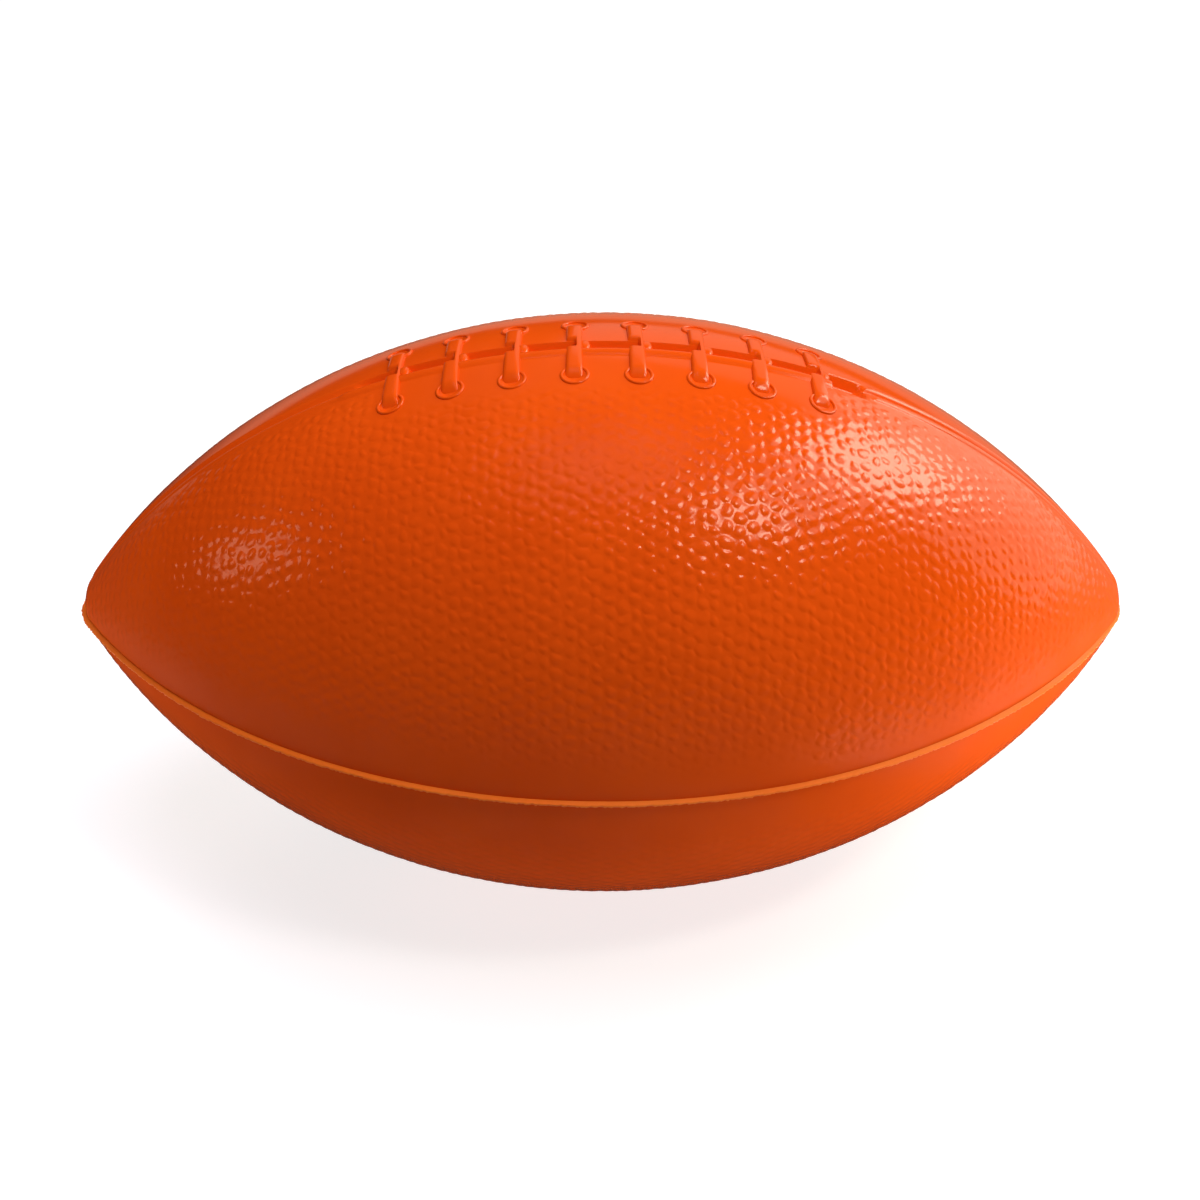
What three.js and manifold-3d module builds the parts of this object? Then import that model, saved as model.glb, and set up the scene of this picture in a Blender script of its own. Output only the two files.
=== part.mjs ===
// A mini american football moulded in plastic: two half shells joined by a weld bead, with the lacing,
// the slit and the panel seams moulded into the skin, and a stopper valve in the lower half.
// Long axis along X, laces on top (+Z), resting on a small contact flat at z = 0. Millimetres.

import * as THREE from "three";
import { mergeVertices } from "three/addons/utils/BufferGeometryUtils.js";
import Module from "manifold-3d";

// Shell
const shellLength = 176.4;
const shellDiameter = 97.5;
const noseRadius = 10;
const wall = 1.8;
const contactFlatDepth = 0.25;

// Weld bead between the halves
const beadThickness = 1.25;
const beadProud = 0.85;
const beadInside = 0.4;
const beadRounding = 0.4;

// Lacing
const laceCount = 8;
const lacePitch = 9.4;
const laceReach = 8.4;
const laceWidth = 2.35;
const laceRise = 0.95;
const laceShoulder = 2.4;
const laceEndDip = 0.4;

// Ring eyelets at both ends of each lace
const eyeletReach = 8;
const eyeletRadius = 1.85;
const eyeletWire = 0.72;
const eyeletOffset = 0.1;
const eyeletRise = 0.36;

// Slit that parts the laces, the welt along its near edge and the lump that bridges it at each lace
const slitRunOut = 8.6;
const slitWidth = 2.4;
const slitDepth = 0.9;
const slitEndRun = 1.6;
const weltWidth = 1.7;
const weltRise = 0.42;
const lumpReach = 1;
const lumpRise = 0.7;
const lumpOverlap = 0.2;

// Panel seams
const seamWidth = 1.8;
const seamDepth = 0.5;
const seamLipWidth = 1.4;
const seamLipRise = 0.28;
const seamStopFromNose = 3.6;

// Valve, on the rear of the plain half
const valveTiltDegrees = 45;
const valveBelowSkin = 0.45;
const plugHeadDiameter = 6.2;
const plugHeadThickness = 0.9;
const plugStemDiameter = 4.2;
const plugStemLength = 8.6;
const plugTipDiameter = 3.4;
const plugTipLength = 6;
const plugTipRounding = 0.9;
const bushWall = 0.65;
const bushFlangeLip = 1.5;
const bushFlangeThickness = 0.9;
const bushBarb = 0.8;
const bushBarbLength = 1.4;
const bossRim = 1.25;
const bossDepth = 7.5;
const nailNotchRadius = 1.1;
const fitClearance = 0.25;

// Facets
const meridianSteps = 28;
const noseSteps = 3;
const girthSteps = 52;
const innerMeridianSteps = 14;
const innerNoseSteps = 2;
const innerGirthSteps = 24;
const reliefStep = 4;
const laceSteps = 10;
const eyeletSteps = 10;
const ridgeSteps = 2;
const valveSteps = 20;
const tipSteps = 4;
const notchSteps = 12;
const notchRings = 8;
const beadEdgeSteps = 1;
const mergeTolerance = 1e-4;
const cutHeadroom = 1;

// The meridian is one long arc that runs into a nose arc at each end.
const midRadius = shellDiameter / 2;
const noseCentre = shellLength / 2 - noseRadius;
const meridianRadius =
  (noseCentre ** 2 + midRadius ** 2 - noseRadius ** 2) / (2 * (midRadius - noseRadius));
const meridianDrop = meridianRadius - midRadius;
const tangentAngle = Math.atan2(noseCentre, meridianDrop);
const arcToTangent = meridianRadius * tangentAngle;
const arcToNose = arcToTangent + noseRadius * (Math.PI / 2 - tangentAngle);
const centreHeight = midRadius - contactFlatDepth;

// Finish
const orange = 0xeb5514;
const skinRoughness = 0.3;
const beadRoughness = 0.4;
const valveRoughness = 0.5;

const wasm = await Module();
wasm.setup();

// Turns a closed geometry into a solid for joining and cutting.
function solid(geometry) {
  const bare = new THREE.BufferGeometry();
  bare.setAttribute("position", geometry.getAttribute("position"));
  bare.setIndex(geometry.index);
  const merged = mergeVertices(bare, mergeTolerance);
  const corners = [];
  for (let i = 0; i < merged.index.count; i += 3) {
    const [a, b, c] = merged.index.array.slice(i, i + 3);
    if (a !== b && b !== c && c !== a) corners.push(a, b, c);
  }
  const triVerts = new Uint32Array(corners);
  const vertProperties = merged.attributes.position.array;
  return new wasm.Manifold(new wasm.Mesh({ numProp: 3, vertProperties, triVerts }));
}

function geometryOf(body) {
  const { vertProperties, triVerts } = body.getMesh();
  const geometry = new THREE.BufferGeometry();
  geometry.setAttribute("position", new THREE.BufferAttribute(vertProperties, 3));
  geometry.setIndex(new THREE.BufferAttribute(triVerts, 1));
  geometry.computeVertexNormals();
  return geometry;
}

function namedMesh(name, geometry, roughness) {
  const material = new THREE.MeshStandardMaterial({ color: orange, roughness, metalness: 0 });
  const mesh = new THREE.Mesh(geometry, material);
  mesh.name = name;
  return mesh;
}

const arcPoints = (x, y, radius, from, to, steps) =>
  new THREE.EllipseCurve(x, y, radius, radius, from, to).getPoints(steps);

// Half outline of the ball, from nose to nose, at an offset from the outer skin: x is the distance from
// the long axis, y the place along it.
function meridian(offset, steps, noseArcSteps) {
  const nose = noseRadius + offset;
  const points = [
    ...arcPoints(0, -noseCentre, nose, -Math.PI / 2, -tangentAngle, noseArcSteps),
    ...arcPoints(-meridianDrop, 0, meridianRadius + offset, -tangentAngle, tangentAngle, steps).slice(1),
    ...arcPoints(0, noseCentre, nose, tangentAngle, Math.PI / 2, noseArcSteps).slice(1),
  ];
  points[0].x = 0;
  points.at(-1).x = 0;
  return points;
}

function revolved(offset, steps, noseArcSteps, girth) {
  const geometry = new THREE.LatheGeometry(meridian(offset, steps, noseArcSteps), girth);
  geometry.rotateZ(-Math.PI / 2);
  return solid(geometry);
}

// A point of the ball from its place on the skin: along is the arc length from mid-length, around the arc
// length from the top seam towards +Y, and height the distance outwards from the skin.
function onSkin(along, around, height) {
  const side = Math.sign(along);
  const arc = Math.abs(along);
  let skinRadius;
  let x;
  let radius;
  if (arc <= arcToTangent) {
    const angle = arc / meridianRadius;
    skinRadius = meridianRadius * Math.cos(angle) - meridianDrop;
    x = (meridianRadius + height) * Math.sin(angle);
    radius = (meridianRadius + height) * Math.cos(angle) - meridianDrop;
  } else {
    const angle = tangentAngle + (arc - arcToTangent) / noseRadius;
    skinRadius = noseRadius * Math.cos(angle);
    x = noseCentre + (noseRadius + height) * Math.sin(angle);
    radius = (noseRadius + height) * Math.cos(angle);
  }
  const turn = around / skinRadius;
  return new THREE.Vector3(side * x, radius * Math.sin(turn), radius * Math.cos(turn));
}

// Lays a relief that was drawn flat (x along, y around, z height) on the ball's skin.
function wrapped(geometry) {
  const position = geometry.getAttribute("position");
  const point = new THREE.Vector3();
  for (let i = 0; i < position.count; i++) {
    point.fromBufferAttribute(position, i);
    position.setXYZ(i, ...onSkin(point.x, point.y, point.z).toArray());
  }
  return solid(geometry);
}

const sectionToSkin = new THREE.Matrix4().makeBasis(
  new THREE.Vector3(0, 1, 0),
  new THREE.Vector3(0, 0, 1),
  new THREE.Vector3(1, 0, 0),
);

// A strip of constant section (x around, y height) that runs along the skin.
function strip(section, from, to) {
  const steps = Math.ceil((to - from) / reliefStep);
  const geometry = new THREE.ExtrudeGeometry(section, { depth: to - from, steps, bevelEnabled: false });
  geometry.applyMatrix4(sectionToSkin);
  geometry.translate(from, 0, 0);
  return wrapped(geometry);
}

const outline = (...corners) => new THREE.Shape(corners.map(([x, y]) => new THREE.Vector2(x, y)));

// A low half-round ridge whose foot runs from one place around the skin to another.
function ridge(from, to, rise, root) {
  const shape = new THREE.Shape();
  shape.moveTo(from, -root);
  shape.lineTo(to, -root);
  shape.lineTo(to, 0);
  shape.bezierCurveTo(to, rise, to, rise, (from + to) / 2, rise);
  shape.bezierCurveTo(from, rise, from, rise, from, 0);
  return new THREE.Shape(shape.getPoints(ridgeSteps));
}

const unite = (bodies) => bodies.reduce((whole, body) => whole.add(body));

// Places along the skin where the laces lie.
const lacePlaces = Array.from({ length: laceCount }, (_, i) => (i - (laceCount - 1) / 2) * lacePitch);
const lastLace = lacePlaces.at(-1);
const laceRoot = slitDepth + (wall - slitDepth) / 4;
const slitEnd = lastLace + slitRunOut;
const slitEdge = slitWidth / 2;

// One lace, from eyelet to eyelet: a rounded band that bends down into the eyelets at both ends.
function lace(along) {
  const section = ridge(-laceWidth / 2, laceWidth / 2, laceRise, laceRoot);
  const settings = { depth: 2 * laceReach, steps: laceSteps, bevelEnabled: false };
  const geometry = new THREE.ExtrudeGeometry(section, settings);
  geometry.rotateX(Math.PI / 2);
  geometry.translate(along, laceReach, 0);
  const position = geometry.getAttribute("position");
  const endShare = (laceRoot - laceEndDip) / (laceRoot + laceRise);
  for (let i = 0; i < position.count; i++) {
    const pastShoulder = Math.max(0, Math.abs(position.getY(i)) - laceReach + laceShoulder) / laceShoulder;
    const share = 1 - (1 - endShare) * pastShoulder ** 2;
    position.setZ(i, (position.getZ(i) + laceRoot) * share - laceRoot);
  }
  return wrapped(geometry);
}

// A raised ring, round-topped, with the skin showing inside it.
function eyelet(along, around) {
  const foot = eyeletWire / 2;
  const crown = foot / 2;
  const profile = outline(
    [eyeletRadius - foot, -eyeletRise],
    [eyeletRadius + foot, -eyeletRise],
    [eyeletRadius + crown, eyeletRise],
    [eyeletRadius - crown, eyeletRise],
    [eyeletRadius - foot, -eyeletRise],
  );
  const geometry = new THREE.LatheGeometry(profile.getPoints(), eyeletSteps);
  geometry.rotateX(Math.PI / 2);
  geometry.translate(along + eyeletOffset, around, 0);
  return wrapped(geometry);
}

// The lump that bridges the slit at the right edge of each lace.
function slitLump(along) {
  const side = along + laceWidth / 2;
  const edge = slitEdge + lumpOverlap;
  return strip(ridge(-edge, edge, lumpRise, laceRoot), side - lumpReach, side + lumpReach);
}

// A length of the slit, cut high enough to part a lace.
function channel(from, to) {
  const top = laceRise + cutHeadroom;
  const section = outline([-slitEdge, -slitDepth], [slitEdge, -slitDepth], [slitEdge, top], [-slitEdge, top]);
  return strip(section, from, to);
}

// The slit parts the left of each lace, up to the lump.
const laceNotch = (along) => channel(along - laceWidth, along + laceWidth / 2 - lumpReach / 2);

// The slit ends past the last lace in a pocket as wide as slit and welt together, with a sloped end.
function slit() {
  const pocketStart = lastLace + laceWidth / 2 + lumpReach;
  const pocket = outline(
    [pocketStart, -slitDepth],
    [slitEnd - slitEndRun, -slitDepth],
    [slitEnd, 0],
    [slitEnd, cutHeadroom],
    [pocketStart, cutHeadroom],
  );
  const settings = { depth: slitWidth + weltWidth, bevelEnabled: false };
  const geometry = new THREE.ExtrudeGeometry(pocket, settings);
  geometry.rotateX(Math.PI / 2);
  geometry.translate(0, slitEdge, 0);
  return channel(-slitEnd, slitEnd - slitEndRun).add(wrapped(geometry));
}

const welt = () =>
  strip(ridge(-slitEdge - weltWidth, -slitEdge, weltRise, laceRoot), -slitEnd, lastLace + laceWidth / 2);

// A panel seam: a groove, and where asked a raised lip along its near side.
const seamEnd = arcToNose - seamStopFromNose;
const seamEdge = seamWidth / 2;
const seamSection = outline(
  [0, -seamDepth],
  [seamEdge, 0],
  [seamEdge, cutHeadroom],
  [-seamEdge, cutHeadroom],
  [-seamEdge, 0],
);
const seamLipSection = ridge(-seamEdge - seamLipWidth, -seamEdge, seamLipRise, seamDepth);
const seamGroove = (from, to) => strip(seamSection, from, to);
const seamLip = (from, to) => strip(seamLipSection, from, to);

// Keeps one side of the parting plane: the halves stop at the bead's flat faces.
function halfOf(body, side) {
  const reach = shellLength + shellDiameter;
  const block = new THREE.BoxGeometry(2 * reach, 2 * reach, reach);
  block.translate(0, 0, (side * (reach + beadThickness)) / 2);
  return body.intersect(solid(block));
}

function shell() {
  const skin = revolved(0, meridianSteps, noseSteps, girthSteps);
  return skin.subtract(revolved(-wall, innerMeridianSteps, innerNoseSteps, innerGirthSteps));
}

function lacedHalf() {
  const eyeletPlaces = lacePlaces.flatMap((along) =>
    [-eyeletReach, eyeletReach].map((around) => [along, around]),
  );
  const cuts = [
    slit(),
    seamGroove(slitEnd - slitEndRun, seamEnd),
    seamGroove(-seamEnd, -slitEnd + slitEndRun),
  ];
  const reliefs = [
    welt(),
    seamLip(slitEnd, seamEnd),
    seamLip(-seamEnd, -slitEnd),
    ...lacePlaces.map(lace),
    ...eyeletPlaces.map((place) => eyelet(...place)),
  ];
  const relief = halfOf(shell(), 1).subtract(unite(cuts)).add(unite(reliefs));
  return relief.subtract(unite(lacePlaces.map(laceNotch))).add(unite(lacePlaces.map(slitLump)));
}

// The valve's own axis points outwards along z, with the ball's centre at its origin.
const valveTurn = new THREE.Euler(-Math.PI + THREE.MathUtils.degToRad(valveTiltDegrees), 0, 0);
const valveMatrix = new THREE.Matrix4().makeRotationFromEuler(valveTurn);
const valveTop = midRadius - valveBelowSkin;
const headSeat = valveTop - plugHeadThickness;
const headRecessRadius = plugHeadDiameter / 2 + fitClearance;
const bushRadius = headRecessRadius + bushWall;
const bushFlangeRadius = bushRadius + bushFlangeLip;
const bushFlangeUnderside = valveTop - bushFlangeThickness;
const flangeRecessFloor = bushFlangeUnderside - fitClearance;
const bossRadius = bushFlangeRadius + fitClearance + bossRim;
const bossTop = Math.sqrt(midRadius ** 2 - bossRadius ** 2) - wall / 2;
const bossEnd = midRadius - bossDepth;
const bushBarbTop = bossEnd - fitClearance;
const bushEnd = bushBarbTop - bushBarbLength;

function turnedProfile(points) {
  const profile = points.map(([radius, z]) => new THREE.Vector2(radius, z));
  const geometry = new THREE.LatheGeometry(profile, valveSteps);
  geometry.rotateX(Math.PI / 2);
  return geometry;
}

const disc = (radius, low, high) => turnedProfile([[0, low], [radius, low], [radius, high], [0, high]]);

function plainHalf() {
  const onValve = (geometry) => solid(geometry.applyMatrix4(valveMatrix));
  const boss = onValve(disc(bossRadius, bossEnd, bossTop));
  const bushHole = onValve(disc(bushRadius + fitClearance, bossEnd - cutHeadroom, midRadius + cutHeadroom));
  const flangeRecess = onValve(
    disc(bushFlangeRadius + fitClearance, flangeRecessFloor, midRadius + cutHeadroom),
  );
  const groove = seamGroove(-seamEnd, seamEnd).rotate([180, 0, 0]);
  const ground = new THREE.BoxGeometry(shellLength, shellDiameter, shellDiameter);
  ground.translate(0, 0, -centreHeight - shellDiameter / 2);
  return halfOf(shell(), -1).add(boss).subtract(unite([bushHole, flangeRecess, groove, solid(ground)]));
}

// The bead fills the gap between the halves and stands proud of the skin all round, with rounded edges.
function weldBead() {
  const ring = (offset) => {
    const near = meridian(offset, meridianSteps, noseSteps);
    const far = near.slice(1, -1).reverse();
    return [...near, ...far.map(({ x, y }) => new THREE.Vector2(-x, y))];
  };
  const shape = new THREE.Shape(ring(beadProud - beadRounding));
  shape.holes.push(new THREE.Path(ring(-wall - beadInside + beadRounding)));
  const geometry = new THREE.ExtrudeGeometry(shape, {
    depth: beadThickness - 2 * beadRounding,
    bevelThickness: beadRounding,
    bevelSize: beadRounding,
    bevelSegments: beadEdgeSteps,
  });
  geometry.rotateZ(-Math.PI / 2);
  geometry.translate(0, 0, beadRounding - beadThickness / 2);
  return geometry;
}

// Soft bush: a flange that lies in the skin, a body through the boss, a barb behind it and a nail notch.
function valveBush() {
  const bore = plugStemDiameter / 2 + fitClearance;
  const body = turnedProfile([
    [bore, bushEnd],
    [bushRadius, bushEnd],
    [bushRadius + bushBarb, bushBarbTop],
    [bushRadius, bushBarbTop],
    [bushRadius, bushFlangeUnderside],
    [bushFlangeRadius, bushFlangeUnderside],
    [bushFlangeRadius, valveTop],
    [headRecessRadius, valveTop],
    [headRecessRadius, headSeat - fitClearance],
    [bore, headSeat - fitClearance],
    [bore, bushEnd],
  ]);
  const notch = new THREE.SphereGeometry(nailNotchRadius, notchSteps, notchRings);
  notch.translate(headRecessRadius, 0, valveTop);
  return geometryOf(solid(body).subtract(solid(notch)));
}

// Stopper: a flat head that lies in the bush and a stem that tapers to a rounded tip.
function valvePlug() {
  const stemEnd = headSeat - plugStemLength;
  const tipRadius = plugTipDiameter / 2;
  const tipCentre = stemEnd + plugTipRounding;
  const tipCurve = new THREE.EllipseCurve(0, tipCentre, tipRadius, plugTipRounding, -Math.PI / 2, 0);
  const tip = tipCurve.getPoints(tipSteps);
  return turnedProfile([
    [0, stemEnd],
    ...tip.slice(1).map(({ x, y }) => [x, y]),
    [plugStemDiameter / 2, stemEnd + plugTipLength],
    [plugStemDiameter / 2, headSeat],
    [plugHeadDiameter / 2, headSeat],
    [plugHeadDiameter / 2, valveTop],
    [0, valveTop],
  ]);
}

const football = new THREE.Group();
const ball = new THREE.Group();
ball.position.z = centreHeight;
football.add(ball);
ball.add(namedMesh("laced_half", geometryOf(lacedHalf()), skinRoughness));
ball.add(namedMesh("plain_half", geometryOf(plainHalf()), skinRoughness));
ball.add(namedMesh("weld_bead", weldBead(), beadRoughness));

const valve = new THREE.Group();
valve.rotation.copy(valveTurn);
ball.add(valve);
valve.add(namedMesh("valve_bush", valveBush(), valveRoughness));
valve.add(namedMesh("valve_plug", valvePlug(), valveRoughness));

export default football;
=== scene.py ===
# A mini american football moulded in glossy orange plastic. The skin is made as panels with the pebble grain,
# slit, seams and welt in their shape. The laces, the weld bead and the stopper valve are pieces of their own.
import math

import bmesh
import bpy
import numpy as np
from mathutils import Matrix, Vector


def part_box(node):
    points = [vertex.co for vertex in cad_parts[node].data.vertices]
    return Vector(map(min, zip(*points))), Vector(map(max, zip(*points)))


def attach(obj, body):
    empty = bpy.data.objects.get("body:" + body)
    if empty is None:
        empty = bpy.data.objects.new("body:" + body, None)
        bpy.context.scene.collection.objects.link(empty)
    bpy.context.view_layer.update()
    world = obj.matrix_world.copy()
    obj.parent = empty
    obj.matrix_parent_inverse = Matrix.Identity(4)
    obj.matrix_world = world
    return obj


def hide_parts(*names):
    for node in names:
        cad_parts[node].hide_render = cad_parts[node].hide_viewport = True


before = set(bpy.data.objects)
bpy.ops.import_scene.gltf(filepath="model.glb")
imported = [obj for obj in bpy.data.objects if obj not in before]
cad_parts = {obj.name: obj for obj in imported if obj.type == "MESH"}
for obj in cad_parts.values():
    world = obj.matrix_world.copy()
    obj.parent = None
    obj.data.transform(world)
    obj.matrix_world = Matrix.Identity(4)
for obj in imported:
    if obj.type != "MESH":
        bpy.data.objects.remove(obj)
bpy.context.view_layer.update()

mm = 0.001

# Shell
shell_length = 176.4 * mm
shell_diameter = 97.5 * mm
nose_radius = 10 * mm
wall = 1.8 * mm

# Weld bead: the knife left teeth, slow waves and drops in its edge, and went closer at the right nose.
bead_thickness = 1.25 * mm
bead_proud = 0.85 * mm
bead_inside = 0.4 * mm
tooth_depth = 0.1 * mm
trim_wave_depth = 0.06 * mm
trim_wave_stations = 40
trim_wave_gain = 3
drop_depth = 0.14 * mm
close_trim_cut = 0.55
close_trim_start = 22 * mm
close_trim_full = 6 * mm

# Lacing
lace_count = 8
lace_pitch = 9.4 * mm
lacing_middle = -0.3 * mm
lace_reach = 8.5 * mm
lace_width = 2.45 * mm
lace_flare = 0.1
lace_rise = 0.65 * mm
lace_foot = -0.35 * mm
lace_shoulder = 2.4 * mm
lace_end_dip = 0.4 * mm
lace_end_rounding = 0.8 * mm
lace_end_narrowing = 0.7
lace_side_fullness = 0.6
lace_back_fullness = 0.5
lace_lean = 0.012

# Ring eyelets
eyelet_reach = 8 * mm
eyelet_radius = 1.95 * mm
eyelet_wire = 0.54 * mm
eyelet_offset = 0.1 * mm
dish_depth = 0.3 * mm

# Slit: a steep rear slope and a steep near wall. Past the last lace it widens to a pocket.
slit_half = 41.8 * mm
slit_rear = 1.5 * mm
slit_bottom = 0.55 * mm
slit_floor = 0.9 * mm
slit_near = 1.15 * mm
slit_depth = 1.6 * mm
slit_draft = 0.15 * mm
slit_left_run = 7 * mm
slit_right_run = 1.8 * mm
slope_hollow = 1.1
pocket_rear = 1.6 * mm
pocket_floor = 2 * mm
pocket_near = 2.95 * mm
pocket_bottom = 0.5 * mm
pocket_depth = 1.5 * mm

# Welt along the slit's near edge, and the lump that bridges the slit at each lace
welt_width = 1.95 * mm
welt_crown = 0.45 * mm
welt_rise = 0.42 * mm
welt_taper = 3.5 * mm
welt_fall = 2.2
lump_offset = 1.5 * mm
lump_half = 1 * mm
lump_across = 1.55 * mm
lump_rise = 0.42 * mm
lump_fullness = 0.8
notch_share = 0.63
notch_spread = 0.18

# Panel seams: the left one is softer than the right one.
seam_edge = 0.85 * mm
soft_seam_edge = 1.6 * mm
seam_depth = 0.5 * mm
seam_lip_width = 1.5 * mm
seam_lip_rise = 0.28 * mm
rear_lip_width = 0.9 * mm
rear_lip_rise = 0.12 * mm
seam_stop_from_nose = 3.6 * mm
seam_end_run = 2 * mm

# Pebble grain, ripples and waves. A drift bends the grain's rows: length of its wave, heading and push.
grain_pitch = 2.12 * mm
grain_radius = 0.86 * mm
grain_height = 0.1 * mm
grain_wander = 0.28 * mm
grain_size_spread = 0.18
grain_row_share = math.sqrt(3) / 2
grain_drifts = ((3.1 * mm, 0.4, 0.1 * mm), (2.2 * mm, 1.9, 0.08 * mm), (4.7 * mm, 2.7, 0.14 * mm))
grain_on_left = 0.8
grain_gains_from = -40 * mm
grain_gains_to = 20 * mm
grain_on_plain_half = 0.7
ripple_height = 0.03 * mm
ripple_lengths = (1.6 * mm, 3 * mm)
wave_height = 0.05 * mm
wave_lengths = (14 * mm, 34 * mm)
wave_fade = (2 * mm, 8 * mm)
wave_count = 7

# Where the skin is bare of grain, as distances at which the grain starts and is full
near_lacing_bare = (9.4 * mm, 13 * mm)
rear_lacing_bare = (12 * mm, 27 * mm)
near_seam_bare = (2.6 * mm, 4.8 * mm)
rear_seam_bare_most = 22 * mm
rear_seam_bare_share = 0.4
rear_seam_start_share = 0.27
plain_seam_bare = (1.2 * mm, 4 * mm)
past_lacing_run = (34 * mm, 38 * mm)
bead_bare_left = 12 * mm
bead_bare_right = 6 * mm
bead_bare_change = 30 * mm
bead_bare_share = 0.25
bead_start_share = 0.25
plain_bead_bare = 11 * mm
plain_bead_share = 0.3
plain_bead_start_share = 0.5

# Valve
valve_tilt = math.radians(45)
valve_below_skin = 0.45 * mm
plug_head_diameter = 6.2 * mm
plug_head_thickness = 0.9 * mm
plug_stem_diameter = 4.2 * mm
plug_stem_length = 8.6 * mm
plug_tip_diameter = 3.4 * mm
plug_tip_length = 6 * mm
plug_tip_rounding = 0.9 * mm
bush_wall = 0.65 * mm
bush_flange_lip = 1.5 * mm
bush_flange_thickness = 0.9 * mm
bush_barb = 0.8 * mm
bush_barb_length = 1.4 * mm
boss_rim = 1.25 * mm
boss_depth = 7.5 * mm
nail_notch_radius = 1.1 * mm
fit_clearance = 0.25 * mm
plug_dimple_share = 0.28
plug_dimple_floor_share = 0.8
plug_dimple_depth = 0.15 * mm
plug_rounding = 0.12 * mm
bush_rounding = 0.14 * mm
boss_rounding = 0.2 * mm
valve_hole_depth = 6 * mm

# Mesh fineness, and where the skin is split. A soft edge is the sharpest, in degrees, that is shaded smooth.
# A panel is made some steps past the bead, and trimmed a little inside that.
near_step = 0.175 * mm
rear_step = 0.26 * mm
plain_step = 0.36 * mm
seam_strip = 4.2 * mm
seam_columns = 28
inner_step = 3.5 * mm
inner_inset = 1 * mm
panel_margin_steps = 3
panel_trim_steps = 2.5
bead_stations = 1400
parting_gap = 0.22 * mm
lace_columns = 22
lace_rows = 76
valve_steps = 96
skin_soft_edge = 50
valve_soft_edge = 35
near_split = 35 * mm
nose_opening = 0.35 * mm

# The meridian is one long arc that runs into a nose arc at each end.
mid_radius = shell_diameter / 2
nose_centre = shell_length / 2 - nose_radius
meridian_radius = (nose_centre**2 + mid_radius**2 - nose_radius**2) / (2 * (mid_radius - nose_radius))
meridian_drop = meridian_radius - mid_radius
tangent_angle = math.atan2(nose_centre, meridian_drop)
arc_to_tangent = meridian_radius * tangent_angle
arc_to_nose = arc_to_tangent + nose_radius * (math.pi / 2 - tangent_angle)
bead_low, bead_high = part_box("weld_bead")
centre_height = (bead_low.z + bead_high.z) / 2

# Places along the skin
lace_places = [lacing_middle + (i - (lace_count - 1) / 2) * lace_pitch for i in range(lace_count)]
last_lace = lace_places[-1]
lace_root = (slit_depth + slit_draft + wall) / 2
pocket_start = last_lace + lump_offset + lump_half
seam_end = arc_to_nose - seam_stop_from_nose


def girth_radius(along):
    arc = np.abs(along)
    on_long_arc = meridian_radius * np.cos(arc / meridian_radius) - meridian_drop
    on_nose = nose_radius * np.cos(tangent_angle + (arc - arc_to_tangent) / nose_radius)
    return np.where(arc <= arc_to_tangent, on_long_arc, on_nose)


# Place along the long axis and distance from it, at a height above the skin.
def meridian_point(along, height):
    arc = np.abs(along)
    on_nose = arc > arc_to_tangent
    nose_angle = tangent_angle + (arc - arc_to_tangent) / nose_radius
    angle = np.where(on_nose, nose_angle, arc / meridian_radius)
    bend = np.where(on_nose, nose_radius, meridian_radius) + height
    x = np.where(on_nose, nose_centre, 0) + bend * np.sin(angle)
    out = bend * np.cos(angle) - np.where(on_nose, 0, meridian_drop)
    return np.sign(along) * x, out


# A point of the ball from its place on the skin: along and around are arc lengths from the middle of the
# lacing, around grows towards the rear, and height is the distance outwards from the skin.
def on_ball(along, around, height):
    x, out = meridian_point(along, height)
    turn = around / girth_radius(along)
    return np.stack([x, out * np.sin(turn), out * np.cos(turn) + centre_height], axis=-1)


# Goes smoothly from 0 at start to 1 at stop, either way round.
def ease(value, start, stop):
    share = np.clip((value - start) / (stop - start), 0, 1)
    return share * share * (3 - 2 * share)


# A half-round ridge over a place, 1 at its crown.
def ridge(value, middle, width):
    return np.sqrt(np.clip(1 - ((value - middle) / (width / 2)) ** 2, 0, 1))


def read_points(piece):
    flat = np.empty(len(piece.data.vertices) * 3)
    piece.data.vertices.foreach_get("co", flat)
    return flat.reshape(-1, 3)


def write_points(piece, points):
    piece.data.vertices.foreach_set("co", np.ascontiguousarray(points, dtype=np.float64).ravel())
    piece.data.update()


def select_only(*pieces):
    bpy.ops.object.select_all(action="DESELECT")
    for piece in pieces:
        piece.select_set(True)
    bpy.context.view_layer.objects.active = pieces[0]


def edit(piece, mode="VERT"):
    select_only(piece)
    bpy.ops.object.mode_set(mode="EDIT")
    bpy.ops.mesh.select_mode(type=mode)
    bpy.ops.mesh.select_all(action="SELECT")


def stop_editing():
    bpy.ops.object.mode_set(mode="OBJECT")


# In edit mode, selects the edges that a test accepts.
def pick_edges(piece, accepts):
    bpy.ops.mesh.select_all(action="DESELECT")
    mesh = bmesh.from_edit_mesh(piece.data)
    for edge in mesh.edges:
        edge.select_set(bool(accepts(edge)))
    bmesh.update_edit_mesh(piece.data)


def join(name, *pieces):
    select_only(*pieces)
    bpy.ops.object.join()
    pieces[0].name = name
    pieces[0].data.name = name
    return pieces[0]


def smooth(piece, degrees):
    select_only(piece)
    bpy.ops.object.shade_smooth_by_angle(angle=math.radians(degrees))


def finish_piece(piece, body, node, material):
    piece.data.materials.clear()
    piece.data.materials.append(material)
    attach(piece, body)
    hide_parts(node)


# Materials
def new_material(name):
    material = bpy.data.materials.new(name)
    material.use_nodes = True
    nodes = material.node_tree.nodes
    return material, nodes, material.node_tree.links, nodes["Principled BSDF"]


cloud_scale = 55
gloss_scale = 180
texture_scale = 2600
texture_strength = 0.35
noise_low = 0.3
noise_high = 0.7


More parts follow.
